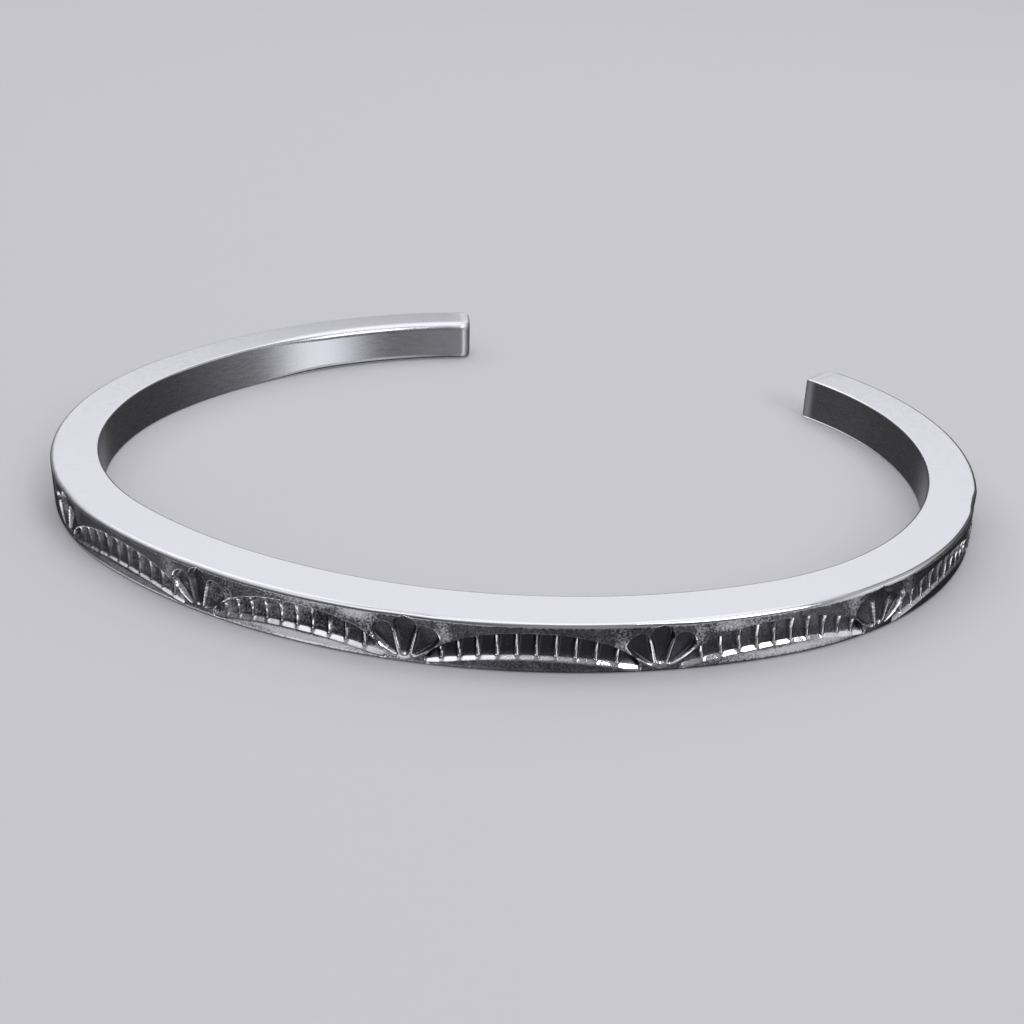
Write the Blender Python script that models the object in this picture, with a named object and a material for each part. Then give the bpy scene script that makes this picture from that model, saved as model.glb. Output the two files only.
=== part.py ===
# An open cuff bangle: one heavy square silver wire, bent to an oval and stamped on its outer face.
#
# The cuff lies on one of its flat sides, on z = 0. The middle of the stamped pattern faces -Y, and
# the gap between the two ends is at the back. Lengths are metres, and angles are degrees.
# A place on the band is given as the length along the wire's centre line from the left end,
# the height above the lower side, and the distance outwards from the centre line.

import math

import bmesh
import bpy
from mathutils import Vector

# The wire
BAND_LENGTH = 0.1421
WIRE_THICKNESS = 0.0032
WIRE_HEIGHT = 0.00325
OUTER_EDGE_RADIUS = 0.00022
INNER_EDGE_RADIUS = 0.0005
END_CORNER_RADIUS = 0.0009

# The bends from the left end round the front to the right end.
# Each row is: stretch, share of the band's length, angle that it turns through.
BENDS = (
    ("left end", 0.198, 52.4),
    ("left side", 0.191, 79.2),
    ("front", 0.308, 65.6),
    ("right side", 0.170, 61.3),
    ("right end", 0.133, 52.2),
)

# Where each fan stands, as a share of the band's length. They are struck by hand, a little unevenly.
FAN_PLACES = (0.3565, 0.4512, 0.5421, 0.6400, 0.7366, 0.8313)

# The ribbed half-moon that fills the space between each two fans
MOON_FAN_CLEARANCE = 0.00112
MOON_TOP_MARGIN = 0.00068
MOON_BOTTOM_MARGIN = 0.0001
MOON_END_HEIGHT = 0.00035
MOON_BELLY_RISE = 0.00074
MOON_ARCH = (2.2, 0.65)
MOON_CELLS = 11
MOON_RIB = 0.0002
MOON_DEPTH = 0.00045
MOON_SIDE_SLOPE = 0.00007
MOON_LOWER_SLOPE = 0.0003
MOON_UPPER_SLOPE = 0.00008
MOON_LEAST_FLOOR = 0.0001

# The fan, whose petals meet at a point near the lower edge
FAN_ROOT_HEIGHT = 0.00042
FAN_TOP_MARGIN = 0.00017
FAN_ROOT_GAP = 0.0003
FAN_ROOT_DEPTH = 0.00008
FAN_TIP_DEPTH = 0.00042
FAN_WALL_SLOPE = 0.00007

# Each row is: petal, lean from upright, length and half width as shares of the fan's height.
PETALS = (
    ("left", -37.0, 0.95, 0.265),
    ("middle", 0.0, 1.00, 0.205),
    ("right", 37.0, 0.95, 0.265),
)
# A petal's edge from its root to its tip.
# Each row is: share of the petal's length, share of its half width.
PETAL_EDGE = (
    (0.00, 0.08),
    (0.35, 0.42),
    (0.68, 0.86),
    (0.84, 1.00),
    (0.95, 0.66),
    (1.00, 0.00),
)

# The fineness of the faceted solid
STATION_STEP = 0.0011
END_CORNER_STEPS = 4
OUTER_EDGE_STEPS = 2
INNER_EDGE_STEPS = 3
SHARP_ANGLE = 30.0
# How far a punch stands out of the face that it cuts
PUNCH_PROUD = 0.0002

SILVER_COLOUR = (0.86, 0.86, 0.87, 1.0)
SILVER_ROUGHNESS = 0.16


def clear_scene():
    for item in list(bpy.data.objects):
        bpy.data.objects.remove(item, do_unlink=True)


def silver():
    material = bpy.data.materials.new("silver")
    material.use_nodes = True
    shader = material.node_tree.nodes["Principled BSDF"]
    shader.inputs["Base Color"].default_value = SILVER_COLOUR
    shader.inputs["Metallic"].default_value = 1.0
    shader.inputs["Roughness"].default_value = SILVER_ROUGHNESS
    return material


# The centre line

def pattern_middle():
    """The place half way between the two middle fans."""
    middle = len(FAN_PLACES) // 2
    return 0.5 * (FAN_PLACES[middle - 1] + FAN_PLACES[middle]) * BAND_LENGTH


def turn_before(along):
    """The angle turned through from the left end to a place on the band."""
    turned = 0.0
    for _, share, sweep in BENDS:
        length = share * BAND_LENGTH
        turned += math.radians(sweep) * min(max(along / length, 0.0), 1.0)
        along -= length
    return turned


def chord(heading, radius, angle):
    """The step from the start of a left-hand arc to the point where it has turned by an angle."""
    return radius * Vector((
        math.sin(heading + angle) - math.sin(heading),
        math.cos(heading) - math.cos(heading + angle),
    ))


def trace_bends():
    """The start of each bend: length so far, point, heading and radius."""
    along = 0.0
    point = Vector((0.0, 0.0))
    heading = -turn_before(pattern_middle())
    traced = []
    for _, share, sweep in BENDS:
        length = share * BAND_LENGTH
        angle = math.radians(sweep)
        radius = length / angle
        traced.append((along, point.copy(), heading, radius))
        point += chord(heading, radius, angle)
        heading += angle
        along += length
    return traced


def place(traced, along, up, out):
    """A point of the band from its length along, its height and its distance outwards."""
    start, point, heading, radius = [bend for bend in traced if bend[0] <= max(along, 0.0)][-1]
    angle = (along - start) / radius
    outward = Vector((math.sin(heading + angle), -math.cos(heading + angle)))
    flat = point + chord(heading, radius, angle) + out * outward
    return Vector((flat.x, flat.y, up))


# The wire

def stations():
    """Lengths along the band where a section stands: closer together on the rounded ends."""
    turns = [math.pi / 2.0 * step / END_CORNER_STEPS for step in range(END_CORNER_STEPS)]
    rounded = [END_CORNER_RADIUS * (1.0 - math.cos(turn)) for turn in turns]
    straight = BAND_LENGTH - 2.0 * END_CORNER_RADIUS
    count = math.ceil(straight / STATION_STEP)
    middle = [END_CORNER_RADIUS + straight * step / count for step in range(count + 1)]
    return rounded + middle + [BAND_LENGTH - length for length in reversed(rounded)]


def drawn_in(distance, radius):
    """How far a corner of this radius has drawn in at a distance from the end face."""
    if distance >= radius:
        return 0.0
    return radius - math.sqrt(radius ** 2 - (radius - distance) ** 2)


def section(half_thickness, side_margin):
    """The wire's section as points (out, up), round its four edges."""
    bottom = side_margin
    top = WIRE_HEIGHT - side_margin
    outer = half_thickness - OUTER_EDGE_RADIUS
    inner = INNER_EDGE_RADIUS - half_thickness
    edges = (
        (outer, bottom + OUTER_EDGE_RADIUS, OUTER_EDGE_RADIUS, OUTER_EDGE_STEPS),
        (outer, top - OUTER_EDGE_RADIUS, OUTER_EDGE_RADIUS, OUTER_EDGE_STEPS),
        (inner, top - INNER_EDGE_RADIUS, INNER_EDGE_RADIUS, INNER_EDGE_STEPS),
        (inner, bottom + INNER_EDGE_RADIUS, INNER_EDGE_RADIUS, INNER_EDGE_STEPS),
    )
    points = []
    for quarter, (out, up, radius, steps) in enumerate(edges, start=-1):
        for step in range(steps + 1):
            angle = math.pi / 2.0 * (quarter + step / steps)
            points.append((out + radius * math.cos(angle), up + radius * math.sin(angle)))
    return points


def band_mesh(traced):
    mesh = bmesh.new()
    rings = []
    for along in stations():
        to_end = min(along, BAND_LENGTH - along)
        half = WIRE_THICKNESS / 2.0 - drawn_in(to_end, END_CORNER_RADIUS)
        margin = drawn_in(to_end, OUTER_EDGE_RADIUS)
        rings.append([mesh.verts.new(place(traced, along, up, out)) for out, up in section(half, margin)])
    for near, far in zip(rings, rings[1:]):
        for first in range(len(near)):
            second = (first + 1) % len(near)
            mesh.faces.new((near[first], near[second], far[second], far[first]))
    mesh.faces.new(rings[0][::-1])
    mesh.faces.new(rings[-1])
    bmesh.ops.recalc_face_normals(mesh, faces=mesh.faces[:])
    return mesh


# The punches, which cut the stamping

def add_punch(mesh, rim, floor):
    """Add a closed tapered body between two loops with as many points, listed the same way round."""
    rim_verts = [mesh.verts.new(point) for point in rim]
    floor_verts = [mesh.verts.new(point) for point in floor]
    faces = [mesh.faces.new(rim_verts), mesh.faces.new(floor_verts[::-1])]
    for first in range(len(rim)):
        second = (first + 1) % len(rim)
        wall = (rim_verts[second], rim_verts[first], floor_verts[first], floor_verts[second])
        faces.append(mesh.faces.new(wall))
    bmesh.ops.recalc_face_normals(mesh, faces=faces)


def moon_top(share):
    """Height of the moon's upper line, at a share of its half length from its middle."""
    low = MOON_BOTTOM_MARGIN + MOON_END_HEIGHT
    crown = WIRE_HEIGHT - MOON_TOP_MARGIN
    power, root = MOON_ARCH
    return low + (crown - low) * max(1.0 - abs(share) ** power, 0.0) ** root


def moon_bottom(share):
    """Height of the moon's lower line, at a share of its half length from its middle."""
    return MOON_BOTTOM_MARGIN + MOON_BELLY_RISE * (1.0 - share ** 2)


def cell_loop(traced, left, right, shares, depth):
    """A moon cell's outline at a depth below the face. A depth below zero is outside the face."""
    taper = depth / MOON_DEPTH
    corners = []
    for along, share, inwards in ((left, shares[0], 1.0), (right, shares[1], -1.0)):
        bottom = moon_bottom(share) + MOON_LOWER_SLOPE * taper
        top = max(moon_top(share) - MOON_UPPER_SLOPE * taper, bottom + MOON_LEAST_FLOOR)
        corners.append((along + inwards * MOON_SIDE_SLOPE * taper, bottom, top))
    out = WIRE_THICKNESS / 2.0 - depth
    (left, left_bottom, left_top), (right, right_bottom, right_top) = corners
    loop = ((left, left_bottom), (right, right_bottom), (right, right_top), (left, left_top))
    return [place(traced, along, up, out) for along, up in loop]


def add_moon(mesh, traced, start, end):
    """One half-moon: a row of cells that leaves a rib between each two."""
    pitch = (end - start) / MOON_CELLS
    middle = (start + end) / 2.0
    for cell in range(MOON_CELLS):
        left = start + cell * pitch + MOON_RIB / 2.0
        right = start + (cell + 1) * pitch - MOON_RIB / 2.0
        shares = [2.0 * (along - middle) / (end - start) for along in (left, right)]
        rim = cell_loop(traced, left, right, shares, -PUNCH_PROUD)
        floor = cell_loop(traced, left, right, shares, MOON_DEPTH)
        add_punch(mesh, rim, floor)


def petal_loop(traced, middle, petal, is_floor):
    """A petal's outline in its floor, which sinks towards the tip, or just outside the face."""
    _, lean, length_share, width_share = petal
    height = WIRE_HEIGHT - FAN_TOP_MARGIN - FAN_ROOT_HEIGHT
    length = height * length_share - FAN_ROOT_GAP
    axis = Vector((math.sin(math.radians(lean)), math.cos(math.radians(lean))))
    across = Vector((axis.y, -axis.x))
    right_edge = [(share, height * width_share * breadth) for share, breadth in PETAL_EDGE]
    left_edge = [(share, -half) for share, half in reversed(right_edge[:-1])]
    loop = []
    for share, half in right_edge + left_edge:
        depth = -PUNCH_PROUD
        if is_floor:
            depth = FAN_ROOT_DEPTH + (FAN_TIP_DEPTH - FAN_ROOT_DEPTH) * share
        inset = FAN_WALL_SLOPE * depth / FAN_TIP_DEPTH
        breadth = math.copysign(abs(half) - min(inset, abs(half) / 2.0), half)
        flat = axis * (FAN_ROOT_GAP + (length - inset) * share) + across * breadth
        up = FAN_ROOT_HEIGHT + flat.y
        loop.append(place(traced, middle + flat.x, up, WIRE_THICKNESS / 2.0 - depth))
    return loop


def stamps_mesh(traced):
    mesh = bmesh.new()
    fans = [share * BAND_LENGTH for share in FAN_PLACES]
    for left, right in zip(fans, fans[1:]):
        add_moon(mesh, traced, left + MOON_FAN_CLEARANCE, right - MOON_FAN_CLEARANCE)
    for middle in fans:
        for petal in PETALS:
            rim = petal_loop(traced, middle, petal, is_floor=False)
            floor = petal_loop(traced, middle, petal, is_floor=True)
            add_punch(mesh, rim, floor)
    return mesh


# The part

def add_object(name, mesh, offset):
    data = bpy.data.meshes.new(name)
    mesh.to_mesh(data)
    mesh.free()
    item = bpy.data.objects.new(name, data)
    item.location = offset
    bpy.context.scene.collection.objects.link(item)
    return item


def to_middle(mesh):
    """The move that brings the middle of the mesh's outline over the origin."""
    xs = [vert.co.x for vert in mesh.verts]
    ys = [vert.co.y for vert in mesh.verts]
    return Vector((-(min(xs) + max(xs)) / 2.0, -(min(ys) + max(ys)) / 2.0, 0.0))


def build():
    clear_scene()
    traced = trace_bends()
    band = band_mesh(traced)
    offset = to_middle(band)
    cuff = add_object("cuff", band, offset)
    cuff.data.materials.append(silver())
    cuff.data.shade_smooth()
    cuff.data.set_sharp_from_angle(angle=math.radians(SHARP_ANGLE))

    stamps = add_object("stamps", stamps_mesh(traced), offset)
    stamps.hide_render = True
    stamps.display_type = "WIRE"
    cut = cuff.modifiers.new("stamps", "BOOLEAN")
    cut.operation = "DIFFERENCE"
    cut.solver = "EXACT"
    cut.object = stamps


build()
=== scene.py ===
import math

import bpy
import numpy as np
from mathutils import Matrix, Vector


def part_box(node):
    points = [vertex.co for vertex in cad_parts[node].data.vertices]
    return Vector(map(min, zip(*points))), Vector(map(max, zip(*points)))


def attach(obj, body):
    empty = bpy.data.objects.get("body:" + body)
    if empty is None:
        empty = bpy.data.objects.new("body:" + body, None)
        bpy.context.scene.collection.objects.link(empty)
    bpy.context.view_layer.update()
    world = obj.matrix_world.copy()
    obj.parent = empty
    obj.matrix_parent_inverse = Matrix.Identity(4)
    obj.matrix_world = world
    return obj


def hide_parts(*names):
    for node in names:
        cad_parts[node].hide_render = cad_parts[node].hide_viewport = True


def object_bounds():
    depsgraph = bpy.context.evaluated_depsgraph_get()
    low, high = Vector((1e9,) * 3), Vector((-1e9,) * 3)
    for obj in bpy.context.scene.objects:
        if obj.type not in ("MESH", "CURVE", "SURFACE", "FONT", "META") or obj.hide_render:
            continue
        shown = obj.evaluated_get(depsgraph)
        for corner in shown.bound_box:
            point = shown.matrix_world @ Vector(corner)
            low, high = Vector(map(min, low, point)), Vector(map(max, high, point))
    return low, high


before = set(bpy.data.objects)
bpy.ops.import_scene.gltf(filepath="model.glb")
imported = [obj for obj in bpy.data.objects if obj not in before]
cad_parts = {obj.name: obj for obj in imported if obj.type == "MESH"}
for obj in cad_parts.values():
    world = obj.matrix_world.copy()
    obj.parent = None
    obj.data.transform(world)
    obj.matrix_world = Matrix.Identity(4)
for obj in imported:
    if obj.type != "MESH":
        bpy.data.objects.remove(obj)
CAD_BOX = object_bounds()

# The looks of an open cuff bangle: polished flats and edges, a satin inner face, and a darkened outer
# face struck with fans and ribbed half-moons. Lengths are millimetres until the mesh is made.
# A place on the band is its length along the centre line from the left end (along), its height above
# the side that the cuff lies on (up), and its distance outwards from the centre line (out).
# A fade is a pair of lengths, heights, depths or distances: nothing at the first, all at the second.
# A spot is a length along the band and its spread.

MM = 0.001

# The wire, as in the solid
BAND_LENGTH = 142.1
THICKNESS = 3.2
FACE = THICKNESS / 2.0
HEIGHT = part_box("cuff")[1][2] / MM
# The bends from the left end round the front to the right end.
# Each row is: stretch, share of the band's length, angle that it turns through.
BENDS = (
    ("left end", 0.198, 52.4),
    ("left side", 0.191, 79.2),
    ("front", 0.308, 65.6),
    ("right side", 0.170, 61.3),
    ("right end", 0.133, 52.2),
)
# The share that its plan is drawn in to, so that it stays inside the solid's box
WITHIN = 0.9998

# The rounded edges and the corners of the ends
OUTER_EDGE = 0.28
INNER_EDGE = 0.16
END_CORNER = 0.9
RIGHT_END_OUTER = 1.4
RIGHT_END_INNER = 0.25
# Where the edges are rubbed rounder or left crisp
INNER_EDGE_MORE = 0.42
INNER_EDGE_FADE = (21.0, 13.0)
TOP_EDGE_MORE = 0.12
TOP_EDGE_MORE_SPOT = (99.0, 8.0)
TOP_EDGE_LESS = 0.13
CRISP_SPOT = (87.0, 4.0)

# The fans. Each row is: share of the band's length, how far the blow pressed in the top edge,
# how dark the floors are.
FANS = (
    (0.3565, 0.03, 0.45),
    (0.4512, 0.03, 0.35),
    (0.5421, 0.05, 0.55),
    (0.6400, 0.02, 0.92),
    (0.7366, 0.03, 0.55),
    (0.8313, 0.12, 0.60),
)
FAN_PLACES = np.array([share * BAND_LENGTH for share, _, _ in FANS])
FAN_ROOT_UP = 0.42
FAN_REACH = 1.95
FAN_ROOT_DEPTH = 0.12
FAN_DEPTH = 0.36
FAN_DEEPEST_REACH = 1.9
# The petals' edges about the fan's root, as points that a smooth closed curve passes through.
# Each row is: across, up.
MIDDLE_PETAL = (
    (0.0, 0.08), (0.26, 0.30), (0.46, 1.15), (0.63, 1.84), (0.56, 2.26), (0.30, 2.48),
    (0.0, 2.56), (-0.30, 2.48), (-0.56, 2.26), (-0.63, 1.84), (-0.46, 1.15), (-0.26, 0.30),
)
SIDE_PETAL = (
    (0.36, 0.14), (0.45, 0.60), (0.57, 1.15), (0.75, 1.82), (1.04, 2.08), (1.42, 2.02),
    (1.76, 1.78), (1.92, 1.38), (1.78, 1.00), (1.36, 0.56), (0.92, 0.24), (0.56, 0.06),
)
# The petals' walls narrow towards the tips
WALL_AT_ROOT = 0.20
WALL_AT_TIP = 0.11
WALL_FADE = (1.2, 1.9)
# The bright lines on the petals' edges, dimmed at the tips but not at the flanks of the fan
PETAL_LINE_OUT = 0.02
PETAL_LINE_WIDTH = 0.05
TIP_FADE = (1.35, 1.95)
TIP_DIMMED = 0.85
FLANK_FADE = (0.7, 0.9)
FLANK_TOP_FADE = (1.8, 1.5)
# The collar where the petals meet, worn silver with a painted highlight, and how many times wider than high
# it is
COLLAR_UP = 0.06
COLLAR_WIDER = 2.0
COLLAR_SPREAD = 0.20
COLLAR_BRIGHT = 0.9
# Depths between which the floors turn dark
FAN_DARK_FADE = (0.05, 0.27)
# The dents in the top edge: a fade in shares of the fan's reach, and one upwards
DENT_FADE = (1.0, 0.2)
DENT_UP_FADE = (HEIGHT - 1.6, HEIGHT - 0.4)

# The half-moons
MOON_CLEARANCE = 1.12
MOON_TOP_MARGIN = 0.68
MOON_BOTTOM_MARGIN = 0.10
MOON_END_HEIGHT = 0.35
MOON_BELLY_RISE = 0.74
# The two powers of the upper line, from a circle's 2 and 0.5 to a fuller arch
MOON_ARCH = (2.2, 0.65)
MOON_CELLS = 11
MOON_DEPTH = 0.45
MOON_STRIP_DEPTH = 0.19
MOON_UPPER_SLOPE = 0.10
MOON_END_SLOPE = 0.12
MOON_DARK_FADE = (0.17, 0.29)
# The least height between the two lines that a share is taken of
MOON_LEAST_HEIGHT = 0.1
# The ribs: width of their walls, depth of a crest, how much deeper it sags and at what share of the
# height, and the share of the hollow's depth that it doesn't pass, above the foot and at the foot
RIB_SLOPE = 0.05
RIB_LOW = 0.06
RIB_SAG = 0.08
RIB_SAG_AT = 0.45
RIB_SUNK = 0.4
RIB_FOOT_SUNK = 0.68
RIB_FOOT_FADE = (-0.04, 0.11)
RIB_LEAN = 0.10
# The bright strip on the slope along the foot, worn silver with a painted highlight
STRIP_FOOT_FADE = (0.0, 0.06)
STRIP_TOP_FADE = (0.03, -0.05)
STRIP_END_FADE = (0.05, 0.15)
STRIP_AT_RIBS = 0.6
# The bright lines on the ribs, the rim and the ends of a moon: worn silver, and painted highlights on rims
# too fine for the mesh
RIB_LINE_MORE = 0.02
RIB_LINE_FADE = (0.0, 0.12)
RIB_BRIGHT = 0.9
RIM_WIDTH = 0.045
RIM_BRIGHT = 0.5
UPPER_RIM_SHARE = 0.7
MOON_END_WIDTH = 0.05
MOON_END_FADE = (0.0, 0.1)
MOON_END_BRIGHT = 0.7
# The moons from the left one to the right one, as no two blows fell alike. Each row is: how far the ribs
# wander along the moon, how far their tops lean left, half the width of a rib's crest, width of the
# lower slope, how brightly that slope is worn and painted as a highlight, how dark the floors are.
MOONS = (
    (0.25, 0.4, 0.045, 0.17, 0.65, 0.20),
    (-0.35, 0.5, 0.045, 0.30, 0.95, 0.10),
    (-0.35, 0.0, 0.075, 0.26, 0.80, 0.97),
    (0.20, 0.0, 0.065, 0.27, 0.90, 0.35),
    (-0.20, 0.0, 0.050, 0.17, 0.55, 0.50),
)
MOON_STARTS = FAN_PLACES[:-1] + MOON_CLEARANCE
MOON_ENDS = FAN_PLACES[1:] - MOON_CLEARANCE
# How far beyond its ends a stamp is still worked out
STAMP_ROOM = 0.2

# Where the outer face is pale: rubbed at its two edges and beside the fans, and painted light on the floors
# at the left
TOP_FROST = 0.95
TOP_FROST_FADE = (HEIGHT - OUTER_EDGE - 0.10, HEIGHT - OUTER_EDGE + 0.02)
TOP_FROST_CRISP_LOSS = 0.6
LOW_FROST = 0.15
LOW_FROST_FADE = (OUTER_EDGE + 0.04, OUTER_EDGE - 0.08)
FAN_FROST = 0.40
FAN_FROST_GAP = 0.25
FAN_FROST_SPREAD = 0.6
FAN_FROST_FADE = (1.1, 1.9)
FLOOR_PAINTED_LIGHT = 0.42
FLOOR_PAINTED_LIGHT_FADE = (75.5, 70.5)
# Painted highlights on the upper part of the face, as pale patches. Each row is: spot, fade upwards, how
# pale.
HIGH_PAINTED_HIGHLIGHTS = (
    ((50.6, 0.8), (0.9, 1.7), 0.80),
    ((72.0, 3.0), (2.35, 2.95), 0.60),
    ((74.3, 1.4), (1.9, 2.8), 0.75),
    ((94.8, 1.8), (2.0, 2.6), 0.60),
    ((97.0, 5.5), (HEIGHT - 0.55, HEIGHT - 0.25), 0.42),
)
# Painted highlights below the half-moons, as pale patches, a little less pale at the very foot. Each row
# is: spot, how pale.
LOW_PAINTED_HIGHLIGHTS = (
    ((58.0, 5.0), 0.60),
    ((71.4, 5.5), 1.00),
    ((99.0, 4.5), 0.95),
)
LOW_HIGHLIGHT_FADE = (0.95, 0.55)
LOW_HIGHLIGHT_FOOT = 0.7
LOW_HIGHLIGHT_FOOT_FADE = (0.2, 0.55)

# The bottom edge of the stamped face is darkened, a painted shade where it meets the floor
LOW_EDGE_PAINTED_SHADE = 0.7
LOW_EDGE_SHADE_FADE = (OUTER_EDGE - 0.04, OUTER_EDGE - 0.18)
# The silver is left bright beyond the stamping, and is half bright in the left half-moon as a painted sheen
LEFT_PLAIN_FADE = (48.5, 43.5)
RIGHT_PLAIN_FADE = (120.6, 125.6)
HALF_PLAIN_SHEEN_SPOT = (56.5, 6.5)
HALF_PLAIN_SHEEN = 0.42
# The polish is filed duller at both ends, and on the outer top edge at the left
END_FILED_FADE = (1.2 * END_CORNER, 0.7 * END_CORNER)
EDGE_FILED = 0.8
EDGE_FILED_FADE = (80.0, 66.0)
EDGE_FILED_UP_FADE = (HEIGHT - OUTER_EDGE, HEIGHT - OUTER_EDGE + 0.05)

# Points of the mesh on each rounded edge, on each flat between two edges, and on each end's corner
EDGE_POINTS = 7
FLAT_POINTS = 2
CORNER_POINTS = 9
# Width of the narrow faces that keep the flats flat beside the rounded edges
SUPPORT = 0.03
# Steps up the face, and along it: over the stamping, at its ribs and fans, and on the plain ends,
# where they grow with the distance from the stamping. The last one stops short of the right corner.
FACE_ROW = 0.052
STEP = 0.13
FINE_STEP = 0.056
RIB_FINE_REACH = 0.27
STAMPING_MARGIN = 0.3
PLAIN_STEP = 0.1
PLAIN_STEP_GROWS = 0.25
LONGEST_STEP = 0.9
END_GAP = 0.1
CURVE_STEPS = 6
SHARP_ANGLE = 70.0
TINY = 1e-9
# Points of the rounded inner edges at which the satin of the inner face starts and stops
SATIN_STARTS = 3
SATIN_STOPS = 2


def smooth(value):
    """Ease from 0 to 1 as the value goes from 0 to 1."""
    held = np.clip(value, 0.0, 1.0)
    return held * held * (3.0 - 2.0 * held)


def fade(value, nothing, everything):
    """Ease from 0 to 1 as the value goes from one number to another."""
    return smooth((value - nothing) / (everything - nothing))


def near(distance, width):
    """1 on a line, falling away to 0 over about the width."""
    return np.exp(-((distance / width) ** 2))


def around(along, spot):
    """1 at the middle of a spot, falling away over its spread."""
    middle, spread = spot
    return near(along - middle, spread)


# The centre line

def pattern_middle():
    middle = len(FANS) // 2
    return 0.5 * (FANS[middle - 1][0] + FANS[middle][0]) * BAND_LENGTH


def trace_bends():
    """The start of each bend: length so far, x, y, heading and radius."""
    lengths = np.array([share * BAND_LENGTH for _, share, _ in BENDS])
    angles = np.radians([sweep for _, _, sweep in BENDS])
    starts = np.concatenate(([0.0], np.cumsum(lengths)))[:-1]
    turned = np.sum(angles * np.clip((pattern_middle() - starts) / lengths, 0.0, 1.0))
    x, y, heading = 0.0, 0.0, -turned
    rows = []
    for start, length, angle in zip(starts, lengths, angles):
        radius = length / angle
        rows.append((start, x, y, heading, radius))
        x += radius * (math.sin(heading + angle) - math.sin(heading))
        y += radius * (math.cos(heading) - math.cos(heading + angle))
        heading += angle
    return np.array(rows)


def place(along, out):
    """Plan coordinates of places on the band."""
    rows = trace_bends()
    which = np.clip(np.searchsorted(rows[:, 0], along, side="right") - 1, 0, len(rows) - 1)
    start, x, y, heading, radius = np.moveaxis(rows[which], -1, 0)
    turn = heading + (along - start) / radius
    centre_x = x + radius * (np.sin(turn) - np.sin(heading))
    centre_y = y + radius * (np.cos(heading) - np.cos(turn))
    return centre_x + out * np.sin(turn), centre_y - out * np.cos(turn)


# The stamping: depth below the face, how darkened a place is, and how brightly worn it is

def moon_lines(share):
    """Heights of a moon's lower and upper lines at a share of its half length from its middle."""
    held = np.clip(np.abs(share), 0.0, 1.0)
    low = MOON_BOTTOM_MARGIN + MOON_END_HEIGHT
    crown = HEIGHT - MOON_TOP_MARGIN
    upper = low + (crown - low) * (1.0 - held ** MOON_ARCH[0]) ** MOON_ARCH[1]
    lower = MOON_BOTTOM_MARGIN + MOON_BELLY_RISE * (1.0 - held ** 2)
    return lower, upper


class HalfMoon:
    """One half-moon at some places of the outer face: its hollow, its ribs, and their wear and painted
    highlights.
    """

    def __init__(self, along, up, start, end, row):
        self.drift, self.tilt, self.rib_half, self.slope, self.shine, self.shade = row
        half = (end - start) / 2.0
        from_middle = along - (start + end) / 2.0
        self.share = from_middle / half
        self.inside = half - np.abs(from_middle)
        self.from_start = along - start
        self.pitch = 2.0 * half / MOON_CELLS
        self.lower, self.upper = moon_lines(self.share)
        self.up = up
        self.above = up - self.lower
        self.below = self.upper - up
        self.hollow = self.hollow_depth()
        self.from_rib = self.rib_distance()
        self.ridge = near(self.from_rib, self.rib_half + RIB_SLOPE)

    def hollow_depth(self):
        """Depth without the ribs: a sloped strip along the foot, then a floor that sinks upwards."""
        tall = np.maximum(self.upper - self.lower - self.slope, MOON_LEAST_HEIGHT)
        above_strip = np.clip((self.above - self.slope) / tall, 0.0, 1.0)
        floor = (MOON_DEPTH - MOON_STRIP_DEPTH) * (1.0 - (1.0 - above_strip) ** 2)
        return np.minimum.reduce([
            MOON_STRIP_DEPTH * np.clip(self.above / self.slope, 0.0, 1.0) + floor,
            MOON_DEPTH * smooth(self.below / MOON_UPPER_SLOPE),
            MOON_DEPTH * smooth(self.inside / MOON_END_SLOPE),
        ])

    def rib_distance(self):
        """Distance along to the nearest rib. The ribs lean, and wander from an even spacing."""
        lean = RIB_LEAN * (self.share - self.tilt) * (self.up - (self.lower + self.upper) / 2.0)
        wander = self.drift * (1.0 - np.clip(self.share, -1.0, 1.0) ** 4)
        phase = (self.from_start - lean - wander) / self.pitch
        rib = np.clip(np.round(phase), 1, MOON_CELLS - 1)
        return np.abs(phase - rib) * self.pitch

    def depth(self):
        """Depth with the ribs, whose crests sag between the two lines and sink at the foot."""
        height = self.above / np.maximum(self.upper - self.lower, MOON_LEAST_HEIGHT)
        sag = np.clip(1.0 - (2.0 * (height - RIB_SAG_AT)) ** 2, 0.0, 1.0)
        above_foot = fade(self.above - self.slope, *RIB_FOOT_FADE)
        sunk = RIB_FOOT_SUNK + (RIB_SUNK - RIB_FOOT_SUNK) * above_foot
        crest = np.minimum(RIB_LOW + RIB_SAG * sag, sunk * self.hollow)
        return self.hollow + (crest - self.hollow) * self.ridge

    def strip(self):
        """The slope along the foot, worn and with a painted highlight, fainter where a rib crosses it."""
        strip = fade(self.above, *STRIP_FOOT_FADE) * fade(self.above - self.slope, *STRIP_TOP_FADE)
        strip *= fade(self.inside, *STRIP_END_FADE) * (self.hollow > 0.0)
        return strip * np.maximum(1.0 - self.ridge, STRIP_AT_RIBS)

    def brightness(self):
        """The strip and the bright lines on the ribs, the rim and the moon's ends: worn silver and painted
        highlights.
        """
        rib = near(self.from_rib, self.rib_half + RIB_LINE_MORE) * fade(self.hollow, *RIB_LINE_FADE)
        rim = np.maximum(near(self.above, RIM_WIDTH), UPPER_RIM_SHARE * near(self.below, RIM_WIDTH))
        end = near(self.inside, MOON_END_WIDTH)
        end *= fade(self.above, *MOON_END_FADE) * fade(self.below, *MOON_END_FADE)
        return np.maximum.reduce([
            self.shine * self.strip(),
            RIB_BRIGHT * rib,
            RIM_BRIGHT * rim * (self.inside > 0.0),
            MOON_END_BRIGHT * end,
        ])

    def relief(self):
        depth = self.depth()
        return depth, self.shade * fade(depth, *MOON_DARK_FADE), self.brightness()


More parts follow.
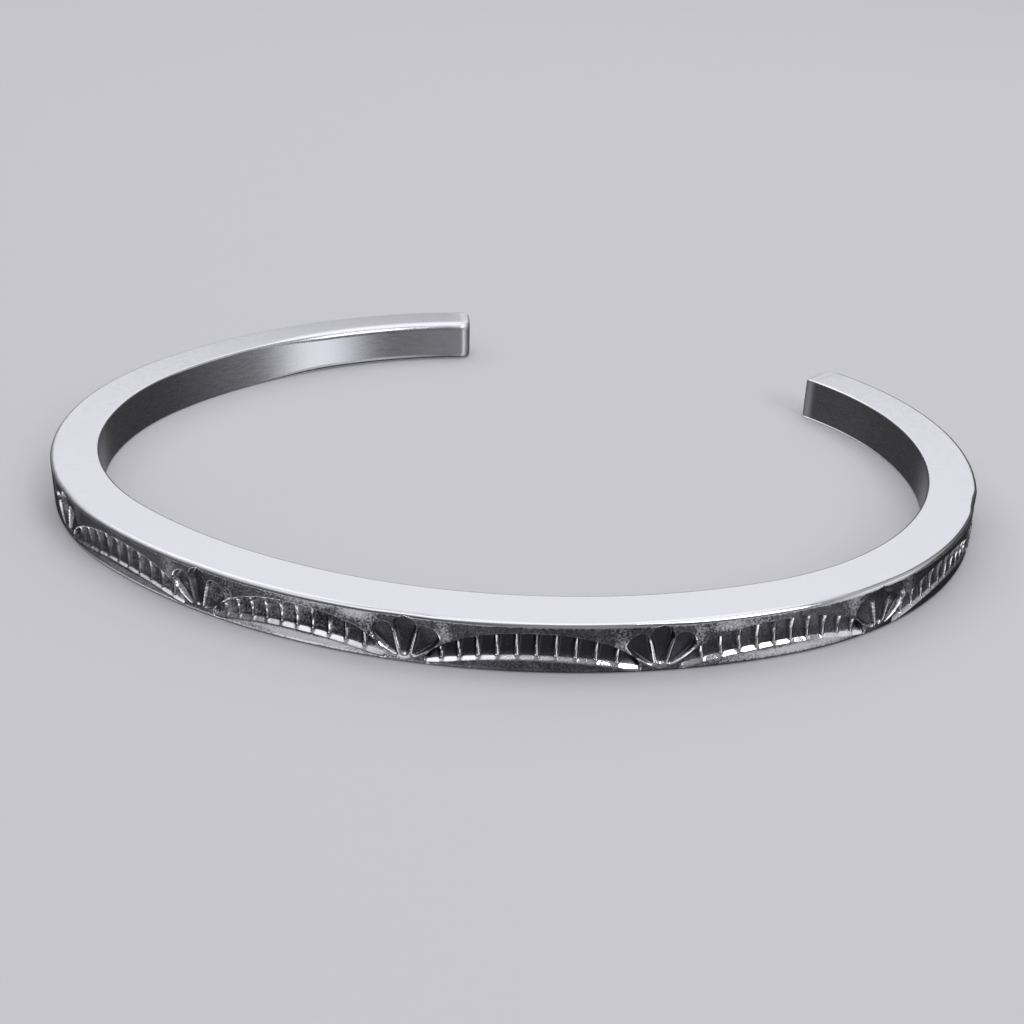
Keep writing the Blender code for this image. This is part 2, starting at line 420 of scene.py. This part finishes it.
def closed_curve(points):
    """A smooth closed curve through the points, as an array of (across, up)."""
    knots = np.array(points)
    before = np.roll(knots, 1, axis=0)
    after = np.roll(knots, -1, axis=0)
    beyond = np.roll(knots, -2, axis=0)
    pieces = []
    for step in range(CURVE_STEPS):
        t = step / CURVE_STEPS
        pieces.append(0.5 * (
            2.0 * knots + (after - before) * t
            + (2.0 * before - 5.0 * knots + 4.0 * after - beyond) * t ** 2
            + (3.0 * knots - before - 3.0 * after + beyond) * t ** 3
        ))
    return np.stack(pieces, axis=1).reshape(-1, 2)


def distance_inside(across, up, curve):
    """Distance to a closed curve, positive inside it."""
    best = np.full(across.shape, np.inf)
    inside = np.zeros(across.shape, dtype=bool)
    for (ax, ay), (bx, by) in zip(curve, np.roll(curve, -1, axis=0)):
        dx, dy = bx - ax, by - ay
        t = np.clip(((across - ax) * dx + (up - ay) * dy) / (dx * dx + dy * dy), 0.0, 1.0)
        best = np.minimum(best, np.hypot(across - ax - t * dx, up - ay - t * dy))
        crosses = (ay > up) != (by > up)
        reach = ax + (up - ay) * dx / (dy if abs(dy) > TINY else TINY)
        inside ^= crosses & (across < reach)
    return np.where(inside, best, -best)


def petals(across, up):
    """Depth of one fan's three petals, whose floors sink from the root to the tip, and their edge lines."""
    reach = np.hypot(across, up)
    floor = FAN_ROOT_DEPTH + (FAN_DEPTH - FAN_ROOT_DEPTH) * smooth(reach / FAN_DEEPEST_REACH)
    wall = WALL_AT_ROOT + (WALL_AT_TIP - WALL_AT_ROOT) * fade(reach, *WALL_FADE)
    depth = np.zeros_like(across)
    line = np.zeros_like(across)
    for outline, side in ((MIDDLE_PETAL, across), (SIDE_PETAL, across), (SIDE_PETAL, -across)):
        inside = distance_inside(side, up, closed_curve(outline))
        filled = np.clip(inside / wall, 0.0, 1.0)
        depth = np.maximum(depth, floor * (1.0 - (1.0 - filled) ** 2))
        line = np.maximum(line, near(inside + PETAL_LINE_OUT, PETAL_LINE_WIDTH))
    return depth, line


def fan_relief(across, up, shade):
    """One fan about its root: its petals, their bright edges and the collar at the root."""
    depth, line = petals(across, up)
    kept = 1.0 - TIP_DIMMED * fade(up, *TIP_FADE)
    flank = fade(np.abs(across), *FLANK_FADE) * fade(up, *FLANK_TOP_FADE)
    collar = near(np.hypot(across / COLLAR_WIDER, up - COLLAR_UP), COLLAR_SPREAD)
    worn_and_highlight = np.maximum(line * np.maximum(kept, flank), COLLAR_BRIGHT * collar)
    return depth, shade * fade(depth, *FAN_DARK_FADE), worn_and_highlight


def stamping(along, up):
    """Depth, darkness and brightness of the whole pattern."""
    totals = [np.zeros_like(along) for _ in range(3)]
    stamps = []
    for start, end, row in zip(MOON_STARTS, MOON_ENDS, MOONS):
        here = (along[:, 0] > start - STAMP_ROOM) & (along[:, 0] < end + STAMP_ROOM)
        stamps.append((here, HalfMoon(along[here], up[here], start, end, row).relief()))
    for middle, (_, _, shade) in zip(FAN_PLACES, FANS):
        here = np.abs(along[:, 0] - middle) < FAN_REACH + STAMP_ROOM
        stamps.append((here, fan_relief(along[here] - middle, up[here] - FAN_ROOT_UP, shade)))
    for here, values in stamps:
        for total, value in zip(totals, values):
            total[here] = np.maximum(total[here], value)
    return totals


def frost_and_painted_light(along, up, depth):
    """Where the face is pale: rubbed at its edges and beside the fans, with painted highlights, and painted
    light on the floors at the left.
    """
    from_fan = np.min([np.abs(along - middle) for middle in FAN_PLACES], axis=0)
    beside = near(from_fan - FAN_REACH - FAN_FROST_GAP, FAN_FROST_SPREAD) * fade(up, *FAN_FROST_FADE)
    top = fade(up, *TOP_FROST_FADE) * (1.0 - TOP_FROST_CRISP_LOSS * around(along, CRISP_SPOT))
    # Painted light: the hollows' floors at the left are made pale
    lit_floors = fade(depth, *MOON_DARK_FADE) * fade(along, *FLOOR_PAINTED_LIGHT_FADE)
    layers = [
        TOP_FROST * top,
        LOW_FROST * fade(up, *LOW_FROST_FADE),
        FAN_FROST * beside,
        FLOOR_PAINTED_LIGHT * lit_floors,
    ]
    # Painted highlights: pale patches on the upper part of the face
    for spot, rise, pale in HIGH_PAINTED_HIGHLIGHTS:
        layers.append(pale * around(along, spot) * fade(up, *rise))
    # Painted highlights below the half-moons
    low = LOW_HIGHLIGHT_FOOT + (1.0 - LOW_HIGHLIGHT_FOOT) * fade(up, *LOW_HIGHLIGHT_FOOT_FADE)
    for spot, pale in LOW_PAINTED_HIGHLIGHTS:
        layers.append(pale * around(along, spot) * low * fade(up, *LOW_HIGHLIGHT_FADE))
    return np.maximum.reduce(layers)


def bare_silver_and_sheen(along):
    """How bare and bright the outer face is: fully beyond the stamping, and half in the left moon, a
    painted sheen there.
    """
    ends = np.maximum(fade(along, *LEFT_PLAIN_FADE), fade(along, *RIGHT_PLAIN_FADE))
    # Painted sheen: the left half-moon is made half bare and bright
    return np.maximum(ends, HALF_PLAIN_SHEEN * around(along, HALF_PLAIN_SHEEN_SPOT))


def pressed_edge(along, up):
    """How far the blows at the fans pressed the top edge inwards."""
    pressed = np.zeros_like(along)
    for middle, (_, amount, _) in zip(FAN_PLACES, FANS):
        across = np.abs(along - middle) / FAN_REACH
        pressed = np.maximum(pressed, amount * fade(across, *DENT_FADE))
    return pressed * fade(up, *DENT_UP_FADE)


# The edges

def drawn_in(distance, radius):
    """How far a corner of this radius has drawn in at a distance from the end face."""
    held = np.clip(distance, 0.0, radius)
    return radius - np.sqrt(radius ** 2 - (radius - held) ** 2)


def inner_edge(along):
    """Radius of the inner edges, which are rubbed rounder towards the left end."""
    return INNER_EDGE + INNER_EDGE_MORE * fade(along, *INNER_EDGE_FADE)


def top_edge(along):
    """Radius of the outer top edge: crisp at the middle, and rubbed rounder to the right of it."""
    more = TOP_EDGE_MORE * around(along, TOP_EDGE_MORE_SPOT)
    return OUTER_EDGE + more - TOP_EDGE_LESS * around(along, CRISP_SPOT)


def rounded_face(along, up):
    """How far out the unstamped face lies, with its two rounded edges."""
    radius = np.where(up > HEIGHT / 2.0, top_edge(along), OUTER_EDGE)
    corner = radius - np.minimum(np.minimum(up, HEIGHT - up), radius)
    return FACE - radius + np.sqrt(radius ** 2 - corner ** 2)


# The mesh: rings of points round the wire, at stations along it

def rib_places():
    """Lengths along of the ribs and of the moons' ends."""
    even = np.linspace(-1.0, 1.0, MOON_CELLS + 1)
    return np.concatenate([
        (start + end) / 2.0 + even * (end - start) / 2.0 + row[0] * (1.0 - even ** 4)
        for start, end, row in zip(MOON_STARTS, MOON_ENDS, MOONS)
    ])


def station_step(along, ribs):
    """Length from this station to the next one."""
    first = FAN_PLACES[0] - FAN_REACH - STAMPING_MARGIN
    last = FAN_PLACES[-1] + FAN_REACH + STAMPING_MARGIN
    if not first < along < last:
        to_stamping = max(first - along, along - last)
        return min(LONGEST_STEP, PLAIN_STEP + PLAIN_STEP_GROWS * to_stamping)
    at_fan = np.min(np.abs(FAN_PLACES - along)) < FAN_REACH
    at_rib = np.min(np.abs(ribs - along)) < RIB_FINE_REACH
    return FINE_STEP if at_fan or at_rib else STEP


def stations():
    """Lengths along the band: close over the stamping, closest at the ribs and fans."""
    turns = np.linspace(0.0, math.pi / 2.0, CORNER_POINTS)[:-1]
    left_corner = END_CORNER * (1.0 - np.cos(turns))
    right_corner = RIGHT_END_OUTER * (1.0 - np.cos(turns))
    ribs = rib_places()
    marks = [END_CORNER]
    while marks[-1] < BAND_LENGTH - RIGHT_END_OUTER - END_GAP:
        marks.append(marks[-1] + station_step(marks[-1], ribs))
    return np.concatenate((left_corner, marks[:-1], BAND_LENGTH - right_corner[::-1]))


def face_rows():
    """Heights of the rows on the outer face, with its two rounded edges."""
    turns = np.linspace(0.0, math.pi / 2.0, EDGE_POINTS)
    edge = OUTER_EDGE * (1.0 - np.cos(turns))
    count = round((HEIGHT - 2.0 * OUTER_EDGE) / FACE_ROW)
    plane = np.linspace(OUTER_EDGE, HEIGHT - OUTER_EDGE, count + 1)[1:-1]
    return np.concatenate((edge, plane, HEIGHT - edge[::-1]))


def back_rows(top_line, inner_radius):
    """Out and up of the top, the inner face and the underside at one station, from the top's outer line."""
    turns = np.linspace(0.0, math.pi / 2.0, EDGE_POINTS)
    inner_line = -FACE + inner_radius
    rows = [(top_line - SUPPORT, HEIGHT), (inner_line + SUPPORT, HEIGHT)]
    rows += [
        (inner_line - inner_radius * math.sin(turn), HEIGHT - inner_radius * (1.0 - math.cos(turn)))
        for turn in turns
    ]
    rows += [(-FACE, HEIGHT - inner_radius - SUPPORT), (-FACE, inner_radius + SUPPORT)]
    rows += [
        (inner_line - inner_radius * math.cos(turn), inner_radius * (1.0 - math.sin(turn)))
        for turn in turns
    ]
    rows += [(inner_line + SUPPORT, 0.0), (FACE - OUTER_EDGE - SUPPORT, 0.0)]
    return rows


def outer_face(along, up):
    """Out and the masks for each station and row of the outer face."""
    depth, dark, worn_and_highlight = stamping(along, up)
    plain_and_sheen = bare_silver_and_sheen(along)
    # Painted shade: the bottom edge is darkened where the cuff meets the floor
    dark = np.maximum(dark, LOW_EDGE_PAINTED_SHADE * fade(up, *LOW_EDGE_SHADE_FADE) * (1.0 - plain_and_sheen))
    masks = {
        "dark": dark,
        "worn_and_highlight": worn_and_highlight,
        "frost_and_highlight": frost_and_painted_light(along, up, depth) * (1.0 - dark),
        "plain_and_sheen": plain_and_sheen,
    }
    return np.minimum(rounded_face(along, up), FACE - depth) - pressed_edge(along, up), masks


def filing(along, face_up, shape):
    """Where the polish is filed duller."""
    to_end = np.minimum(along, BAND_LENGTH - along)[:, None]
    filed = np.broadcast_to(fade(to_end, *END_FILED_FADE), shape).copy()
    edge = fade(along[:, None], *EDGE_FILED_FADE) * fade(face_up, *EDGE_FILED_UP_FADE)
    face = slice(0, face_up.shape[1])
    filed[:, face] = np.maximum(filed[:, face], EDGE_FILED * edge)
    return filed


def end_shares(along, out):
    """Shares of the wire's width and height that its rounded ends leave."""
    to_left = along[:, None]
    to_right = BAND_LENGTH - to_left
    right_corner = np.where(
        out > 0.0,
        drawn_in(to_right, RIGHT_END_OUTER),
        drawn_in(to_right, RIGHT_END_INNER),
    )
    wide = 1.0 - np.maximum(drawn_in(to_left, END_CORNER), right_corner) / FACE
    tall = 1.0 - drawn_in(np.minimum(to_left, to_right), OUTER_EDGE) / (HEIGHT / 2.0)
    return wide, tall


def ring_grid():
    """Length along for each station, then out, up and the masks for each station and row."""
    along = stations()
    face_along, face_up = np.meshgrid(along, face_rows(), indexing="ij")
    face_out, face_masks = outer_face(face_along, face_up)
    back = np.array([back_rows(*edge) for edge in zip(face_out[:, -1], inner_edge(along))])
    out = np.concatenate((face_out, back[:, :, 0]), axis=1)
    up = np.concatenate((face_up, back[:, :, 1]), axis=1)
    blank = np.zeros(back.shape[:2])
    masks = {name: np.concatenate((mask, blank), axis=1) for name, mask in face_masks.items()}
    masks["filed"] = filing(along, face_up, out.shape)
    wide, tall = end_shares(along, out)
    middle = HEIGHT / 2.0
    return along, out * wide, middle + (up - middle) * tall, masks


POLISHED, SATIN, STAMPED = range(3)


def ring_points(along, out, up):
    """The mesh's points, centred on the solid and drawn in to stay inside its box."""
    x, y = place(np.broadcast_to(along[:, None], out.shape), out)
    points = np.stack((x, y, up), axis=-1).reshape(-1, 3)
    middle = (points.min(axis=0) + points.max(axis=0)) / 2.0
    cad_middle = (np.array(CAD_BOX[0]) + np.array(CAD_BOX[1])) / 2.0 / MM
    points[:, :2] = (points - middle)[:, :2] * WITHIN + cad_middle[:2]
    return points


def ring_faces(rings, rows):
    """Faces between each ring and the next one, and then the two end faces."""
    ring, row = np.meshgrid(np.arange(rings - 1), np.arange(rows), indexing="ij")
    nearer = ring * rows + row
    beside = ring * rows + (row + 1) % rows
    quads = np.stack((nearer, beside, beside + rows, nearer + rows), axis=-1).reshape(-1, 4)
    left_end = list(range(rows - 1, -1, -1))
    right_end = [(rings - 1) * rows + index for index in range(rows)]
    return quads.tolist() + [left_end, right_end]


def face_slots(rings, rows):
    """The material slot of each of those faces."""
    face_count = len(face_rows())
    upper_edge = face_count + FLAT_POINTS
    lower_edge = upper_edge + EDGE_POINTS + FLAT_POINTS
    kind = np.full(rows, POLISHED)
    kind[:face_count - EDGE_POINTS] = STAMPED
    kind[upper_edge + SATIN_STARTS:lower_edge + SATIN_STOPS] = SATIN
    return np.concatenate((np.tile(kind, rings - 1), [POLISHED, POLISHED]))


def cuff_mesh():
    along, out, up, masks = ring_grid()
    points = ring_points(along, out, up)
    mesh = bpy.data.meshes.new("cuff_silver")
    mesh.from_pydata((points * MM).tolist(), [], ring_faces(*out.shape))
    mesh.polygons.foreach_set("material_index", face_slots(*out.shape).astype(np.int32))
    for name, values in masks.items():
        layer = mesh.attributes.new(name, "FLOAT", "POINT")
        layer.data.foreach_set("value", values.reshape(-1).astype(np.float32))
    mesh.update()
    mesh.validate()
    mesh.shade_smooth()
    mesh.set_sharp_from_angle(angle=math.radians(SHARP_ANGLE))
    return mesh


# Materials

SILVER = (0.90, 0.90, 0.91, 1.0)
SATIN_LIGHT = (0.74, 0.74, 0.76, 1.0)
SATIN_DARK = (0.62, 0.62, 0.64, 1.0)
PATINA_LIGHT = (0.25, 0.25, 0.26, 1.0)
PATINA_DARK = (0.08, 0.08, 0.085, 1.0)
# Black of the patina in the pockets, also used as painted shade along the bottom edge
RECESS_AND_SHADE = (0.08, 0.077, 0.086, 1.0)
# A noise's low and high values, between which nearly all of it lies
NOISE_RANGE = (0.3, 0.7)

# The polish: sizes in millimetres, roughness at the noise's low and high, and the bump's strength
POLISH_CLOUDS = 0.35
POLISH_ROUGHNESS = (0.13, 0.20)
POLISH_FILED_MORE = 0.3
POLISH_WAVES = 0.9
POLISH_RISE = 0.0015
POLISH_BUMP = 0.5
# The satin
BRUSHING = 0.06
BRUSHING_STRETCH = (0.06, 0.06, 1.0)
SATIN_ROUGHNESS = (0.25, 0.29)
SATIN_FILED_MORE = 0.15
SATIN_GRAIN = 0.10
SATIN_RISE = 0.003
SATIN_BUMP = 0.15
# The stamped face: its grain and speckle
STAMPED_GRAIN = 0.13
STAMPED_CLOUDS = 1.6
STAMPED_RISE = 0.035
SPECKLE_CLOUDS = 0.5
SPECKLE_RANGE = (0.60, 0.95)
# How its masks are strengthened and broken up, and the values between which they turn full
MASK_STRENGTH = 1.7
MASK_CLOUDS = (-0.2, 0.2)
WORN_HIGHLIGHT_GRAIN = (-0.25, 0.05)
WORN_HIGHLIGHT_RANGE = (0.2, 0.9)
PALE_GRAIN = (-0.65, 0.1)
PALE_RANGE = (0.1, 1.0)
# Its roughness where it is untouched and where it is rubbed, and what wear and the plain silver take off
STAMPED_ROUGHNESS = (0.38, 0.55)
WORN_HIGHLIGHT_SMOOTHER = 0.25
PLAIN_SMOOTHER = (0.20, 0.10)
# Strength of the grain's bump where it is untouched, and where it is dark, bright or plain
STAMPED_BUMP = (0.6, 0.06)


class Nodes:
    """Short calls to add and join the nodes of one material."""

    def __init__(self, name):
        self.material = bpy.data.materials.new(name)
        self.material.use_nodes = True
        self.tree = self.material.node_tree
        self.shader = self.tree.nodes["Principled BSDF"]
        self.shader.inputs["Metallic"].default_value = 1.0
        self.where = self.add("ShaderNodeTexCoord").outputs["Object"]

    def add(self, kind, **settings):
        node = self.tree.nodes.new(kind)
        for key, value in settings.items():
            setattr(node, key, value)
        return node

    def set(self, socket, value):
        """Joins a node's output to the socket, or gives the socket a number or colour."""
        if isinstance(value, bpy.types.NodeSocket):
            self.tree.links.new(value, socket)
        else:
            socket.default_value = value

    def surface(self, name, value):
        self.set(self.shader.inputs[name], value)

    def attribute(self, name):
        return self.add("ShaderNodeAttribute", attribute_name=name).outputs["Fac"]

    def noise(self, size, detail=3.0, stretch=(1.0, 1.0, 1.0)):
        """Noise whose grains are about the given size in millimetres."""
        mapping = self.add("ShaderNodeMapping")
        self.set(mapping.inputs["Scale"], stretch)
        self.set(mapping.inputs["Vector"], self.where)
        node = self.add("ShaderNodeTexNoise")
        self.set(node.inputs["Scale"], 1.0 / (size * MM))
        self.set(node.inputs["Detail"], detail)
        self.set(node.inputs["Vector"], mapping.outputs["Vector"])
        return node.outputs["Fac"]

    def ramp(self, value, low, high, to_low=0.0, to_high=1.0):
        node = self.add("ShaderNodeMapRange")
        self.set(node.inputs["Value"], value)
        self.set(node.inputs["From Min"], low)
        self.set(node.inputs["From Max"], high)
        self.set(node.inputs["To Min"], to_low)
        self.set(node.inputs["To Max"], to_high)
        return node.outputs["Result"]

    def spread(self, noise, to_low=0.0, to_high=1.0):
        """A noise stretched to run from one value to another."""
        return self.ramp(noise, *NOISE_RANGE, to_low, to_high)

    def math(self, operation, first, second):
        node = self.add("ShaderNodeMath", operation=operation)
        self.set(node.inputs[0], first)
        self.set(node.inputs[1], second)
        return node.outputs[0]

    def mix(self, share, first, second):
        node = self.add("ShaderNodeMix", data_type="RGBA")
        self.set(node.inputs["Factor"], share)
        self.set(node.inputs[6], first)
        self.set(node.inputs[7], second)
        return node.outputs[2]

    def bump(self, height, rise, strength):
        node = self.add("ShaderNodeBump")
        self.set(node.inputs["Distance"], rise * MM)
        self.set(node.inputs["Strength"], strength)
        self.set(node.inputs["Height"], height)
        self.surface("Normal", node.outputs["Normal"])


def polished_silver():
    """The bright flats and edges: a polish that clouds a little over faint waves, duller where filed."""
    nodes = Nodes("polished_silver")
    nodes.surface("Base Color", SILVER)
    polish = nodes.spread(nodes.noise(POLISH_CLOUDS, detail=5.0), *POLISH_ROUGHNESS)
    filed = nodes.math("MULTIPLY", nodes.attribute("filed"), POLISH_FILED_MORE)
    nodes.surface("Roughness", nodes.math("ADD", polish, filed))
    nodes.bump(nodes.noise(POLISH_WAVES, detail=2.0), POLISH_RISE, POLISH_BUMP)
    return nodes.material


def satin_silver():
    """The inner face: brushed along the band, with a soft sheen, and brighter at its filed ends."""
    nodes = Nodes("satin_silver")
    brushing = nodes.noise(BRUSHING, stretch=BRUSHING_STRETCH)
    brushed = nodes.mix(nodes.spread(brushing), SATIN_DARK, SATIN_LIGHT)
    nodes.surface("Base Color", nodes.mix(nodes.attribute("filed"), brushed, SILVER))
    filed = nodes.math("MULTIPLY", nodes.attribute("filed"), SATIN_FILED_MORE)
    satin = nodes.spread(brushing, *SATIN_ROUGHNESS)
    nodes.surface("Roughness", nodes.math("ADD", satin, filed))
    nodes.bump(nodes.math("ADD", brushing, nodes.noise(SATIN_GRAIN)), SATIN_RISE, SATIN_BUMP)
    return nodes.material


def broken_mask(nodes, name, broken_by, full_range):
    """A mask that is strengthened, and then broken up by noises."""
    mask = nodes.math("MULTIPLY", nodes.attribute(name), MASK_STRENGTH)
    for noise, values in broken_by:
        mask = nodes.math("ADD", mask, nodes.spread(noise, *values))
    return nodes.ramp(mask, *full_range)


def stamped_silver():
    """The darkened outer face: matte grain, black pockets, painted shade along the bottom edge, rubbed pale
    patches with painted highlights, and bright lines of worn silver and painted highlights.
    """
    nodes = Nodes("stamped_silver")
    grain = nodes.noise(STAMPED_GRAIN)
    clouds = nodes.noise(STAMPED_CLOUDS)
    plain_and_sheen = nodes.attribute("plain_and_sheen")
    clouded = (clouds, MASK_CLOUDS)
    # Worn silver and painted highlights: the bright lines on rims, ribs and strips
    worn_and_lit = broken_mask(nodes, "worn_and_highlight", ((grain, WORN_HIGHLIGHT_GRAIN), clouded), WORN_HIGHLIGHT_RANGE)
    # Rubbed pale silver, together with painted highlights and painted light
    rubbed_and_lit = broken_mask(nodes, "frost_and_highlight", ((grain, PALE_GRAIN), clouded), PALE_RANGE)

    speckle = nodes.math("ADD", grain, nodes.math("MULTIPLY", clouds, SPECKLE_CLOUDS))
    face = nodes.mix(nodes.ramp(speckle, *SPECKLE_RANGE), PATINA_DARK, PATINA_LIGHT)
    # The pockets' black patina, and painted shade along the bottom edge
    pocket_and_shade = nodes.mix(nodes.attribute("dark"), face, RECESS_AND_SHADE)
    pale_and_lit = nodes.mix(rubbed_and_lit, pocket_and_shade, SILVER)
    silvered = nodes.math("MAXIMUM", worn_and_lit, plain_and_sheen)
    nodes.surface("Base Color", nodes.mix(silvered, pale_and_lit, SILVER))

    matte = nodes.ramp(rubbed_and_lit, 0.0, 1.0, *STAMPED_ROUGHNESS)
    sheen = nodes.math("MULTIPLY", worn_and_lit, WORN_HIGHLIGHT_SMOOTHER)
    polish = nodes.math("MULTIPLY", plain_and_sheen, nodes.spread(grain, *PLAIN_SMOOTHER))
    shaded = nodes.math("SUBTRACT", matte, sheen)
    nodes.surface("Roughness", nodes.math("SUBTRACT", shaded, polish))

    smoothed = nodes.math("MAXIMUM", nodes.attribute("dark"), nodes.attribute("worn_and_highlight"))
    smoothed = nodes.math("MAXIMUM", smoothed, plain_and_sheen)
    nodes.bump(grain, STAMPED_RISE, nodes.ramp(smoothed, 0.0, 1.0, *STAMPED_BUMP))
    return nodes.material


def make_cuff():
    cuff = bpy.data.objects.new("cuff_silver", cuff_mesh())
    bpy.context.scene.collection.objects.link(cuff)
    for material in (polished_silver(), satin_silver(), stamped_silver()):
        cuff.data.materials.append(material)
    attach(cuff, "root")
    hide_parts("cuff")


# Floor, light and camera, in metres and degrees

FLOOR_HALF = 1.5
FLOOR_COLOUR = (0.53, 0.53, 0.53, 1.0)
FLOOR_ROUGHNESS = 0.9
FLOOR_SHINE = 0.1


def make_floor():
    """A pale matte floor, which the silver doesn't mirror."""
    mesh = bpy.data.meshes.new("floor")
    half = FLOOR_HALF
    corners = [(-half, -half, 0.0), (half, -half, 0.0), (half, half, 0.0), (-half, half, 0.0)]
    mesh.from_pydata(corners, [], [(0, 1, 2, 3)])
    floor = bpy.data.objects.new("floor", mesh)
    bpy.context.scene.collection.objects.link(floor)
    material = bpy.data.materials.new("pale_floor")
    material.use_nodes = True
    shader = material.node_tree.nodes["Principled BSDF"]
    shader.inputs["Base Color"].default_value = FLOOR_COLOUR
    shader.inputs["Roughness"].default_value = FLOOR_ROUGHNESS
    shader.inputs["Specular IOR Level"].default_value = FLOOR_SHINE
    mesh.materials.append(material)
    floor.visible_glossy = False


def direction_to(azimuth, elevation):
    """The direction at an azimuth from the front towards the right and an elevation, in degrees."""
    turn, lift = math.radians(azimuth), math.radians(elevation)
    return Vector((math.sin(turn) * math.cos(lift), -math.cos(turn) * math.cos(lift), math.sin(lift)))


# What the silver mirrors beside the softboxes: pale patches of the studio and of the ground around it.
# Each row is: place, azimuth from the front towards the right and elevation, angle from there up to
# which it is full and angle at which it has faded, brightness.
GLOWS = (
    ("behind, high", 180.0, 33.0, 0.0, 32.0, 0.07),
    ("ground behind", 180.0, -14.0, 2.0, 20.0, 0.10),
    ("near ground behind", 180.0, -38.0, 2.0, 17.0, 0.5),
    ("front", 0.0, 30.0, 10.0, 34.0, 0.12),
    ("right, high", 95.0, 30.0, 8.0, 30.0, 0.32),
    ("ground in front", 0.0, -24.0, 5.0, 40.0, 0.08),
    ("far ground in front", 12.0, -16.0, 5.0, 22.0, 0.16),
    ("ground at the front right", 53.5, -20.0, 2.0, 15.0, 1.55),
    ("near ground at the front right", 56.0, -50.0, 8.0, 28.0, 0.7),
    ("near ground at the front left", -38.0, -50.0, 8.0, 30.0, 0.95),
    ("near ground at the left", -70.0, -60.0, 8.0, 30.0, 0.7),
    ("near ground at the far left", -105.0, -56.0, 10.0, 30.0, 0.7),
    ("near ground at the back left", -138.0, -56.0, 6.0, 24.0, 1.0),
    ("front left", -42.0, 40.0, 6.0, 30.0, 1.0),
    ("left", -100.0, 40.0, 6.0, 30.0, 0.5),
    ("front, high", 0.0, 57.0, 5.0, 24.0, 0.7),
    ("right", 80.0, 4.0, 8.0, 26.0, 0.55),
    ("overhead", 90.0, 80.0, 18.0, 34.0, 0.95),
)
LIGHT_COLOUR = (0.935, 0.93, 1.0)
SKY = 0.12
GROUND = 0.05
# The heights of a direction between which the ground's brightness turns into the sky's
HORIZON = (-0.02, 0.12)


def map_range(tree, value, start, end, to_start, to_end):
    """A node that turns the first two values into the last two."""
    node = tree.nodes.new("ShaderNodeMapRange")
    tree.links.new(value, node.inputs["Value"])
    node.inputs["From Min"].default_value = start
    node.inputs["From Max"].default_value = end
    node.inputs["To Min"].default_value = to_start
    node.inputs["To Max"].default_value = to_end
    return node


def add_glow(tree, direction, so_far, row):
    """Adds one pale patch to the brightness worked out so far."""
    _, azimuth, elevation, full, faded, brightness = row
    facing = tree.nodes.new("ShaderNodeVectorMath")
    facing.operation = "DOT_PRODUCT"
    tree.links.new(direction, facing.inputs[0])
    facing.inputs[1].default_value = direction_to(azimuth, elevation)
    start, end = math.cos(math.radians(faded)), math.cos(math.radians(full))
    patch = map_range(tree, facing.outputs["Value"], start, end, 0.0, brightness)
    patch.interpolation_type = "SMOOTHSTEP"
    total = tree.nodes.new("ShaderNodeMath")
    total.operation = "ADD"
    tree.links.new(so_far, total.inputs[0])
    tree.links.new(patch.outputs["Result"], total.inputs[1])
    return total.outputs[0]


def make_world():
    """A dim sky and a darker ground, with the pale patches on them, as the silver mirrors them."""
    world = bpy.data.worlds.new("studio")
    bpy.context.scene.world = world
    world.use_nodes = True
    tree = world.node_tree
    direction = tree.nodes.new("ShaderNodeTexCoord").outputs["Generated"]
    split = tree.nodes.new("ShaderNodeSeparateXYZ")
    tree.links.new(direction, split.inputs["Vector"])
    strength = map_range(tree, split.outputs["Z"], *HORIZON, GROUND, SKY).outputs["Result"]
    for row in GLOWS:
        strength = add_glow(tree, direction, strength, row)
    background = tree.nodes["Background"]
    background.inputs["Color"].default_value = (*LIGHT_COLOUR, 1.0)
    tree.links.new(strength, background.inputs["Strength"])


# Each row is: softbox, azimuth from the front towards the right and elevation, distance, size,
# brightness, whether the silver mirrors it. Every softbox faces the cuff.
SOFTBOXES = (
    ("back", 180.0, 43.0, 0.62, (0.86, 0.56), 0.71, True),
    ("overhead", 90.0, 78.0, 0.60, (0.62, 0.62), 1.12, False),
    ("left_high", -115.0, 54.0, 0.60, (0.36, 0.36), 1.0, True),
    ("front_right", 45.0, 35.0, 0.65, (0.26, 0.26), 4.8, True),
)


def make_softboxes():
    for name, azimuth, elevation, distance, size, brightness, mirrored in SOFTBOXES:
        light = bpy.data.lights.new(name, "AREA")
        light.shape = "RECTANGLE"
        light.size, light.size_y = size
        light.color = LIGHT_COLOUR
        light.energy = brightness * math.pi * size[0] * size[1]
        box = bpy.data.objects.new(name, light)
        box.visible_glossy = mirrored
        back = direction_to(azimuth, elevation)
        box.location = distance * back
        box.rotation_euler = back.to_track_quat("Z", "Y").to_euler()
        bpy.context.scene.collection.objects.link(box)


CAMERA_TARGET = Vector((0.00026, -0.00617, 0.0))
CAMERA_AZIMUTH = 0.64
CAMERA_ELEVATION = 26.62
CAMERA_DISTANCE = 0.0974
CAMERA_ROLL = 1.73
CAMERA_NEAREST = 0.005
# The lens and the width of the film, in millimetres
CAMERA_LENS = 50.04
CAMERA_FILM = 36.0


def make_camera():
    camera = bpy.data.cameras.new("camera")
    camera.sensor_fit = "HORIZONTAL"
    camera.sensor_width = CAMERA_FILM
    camera.lens = CAMERA_LENS
    camera.clip_start = CAMERA_NEAREST
    item = bpy.data.objects.new("camera", camera)
    back = direction_to(CAMERA_AZIMUTH, CAMERA_ELEVATION)
    turned = back.to_track_quat("Z", "Y").to_matrix().to_4x4()
    rolled = turned @ Matrix.Rotation(math.radians(CAMERA_ROLL), 4, "Z")
    item.matrix_world = Matrix.Translation(CAMERA_TARGET + CAMERA_DISTANCE * back) @ rolled
    bpy.context.scene.collection.objects.link(item)
    bpy.context.scene.camera = item


make_cuff()
make_floor()
make_world()
make_softboxes()
make_camera()
bpy.context.scene.view_settings.view_transform = "Standard"
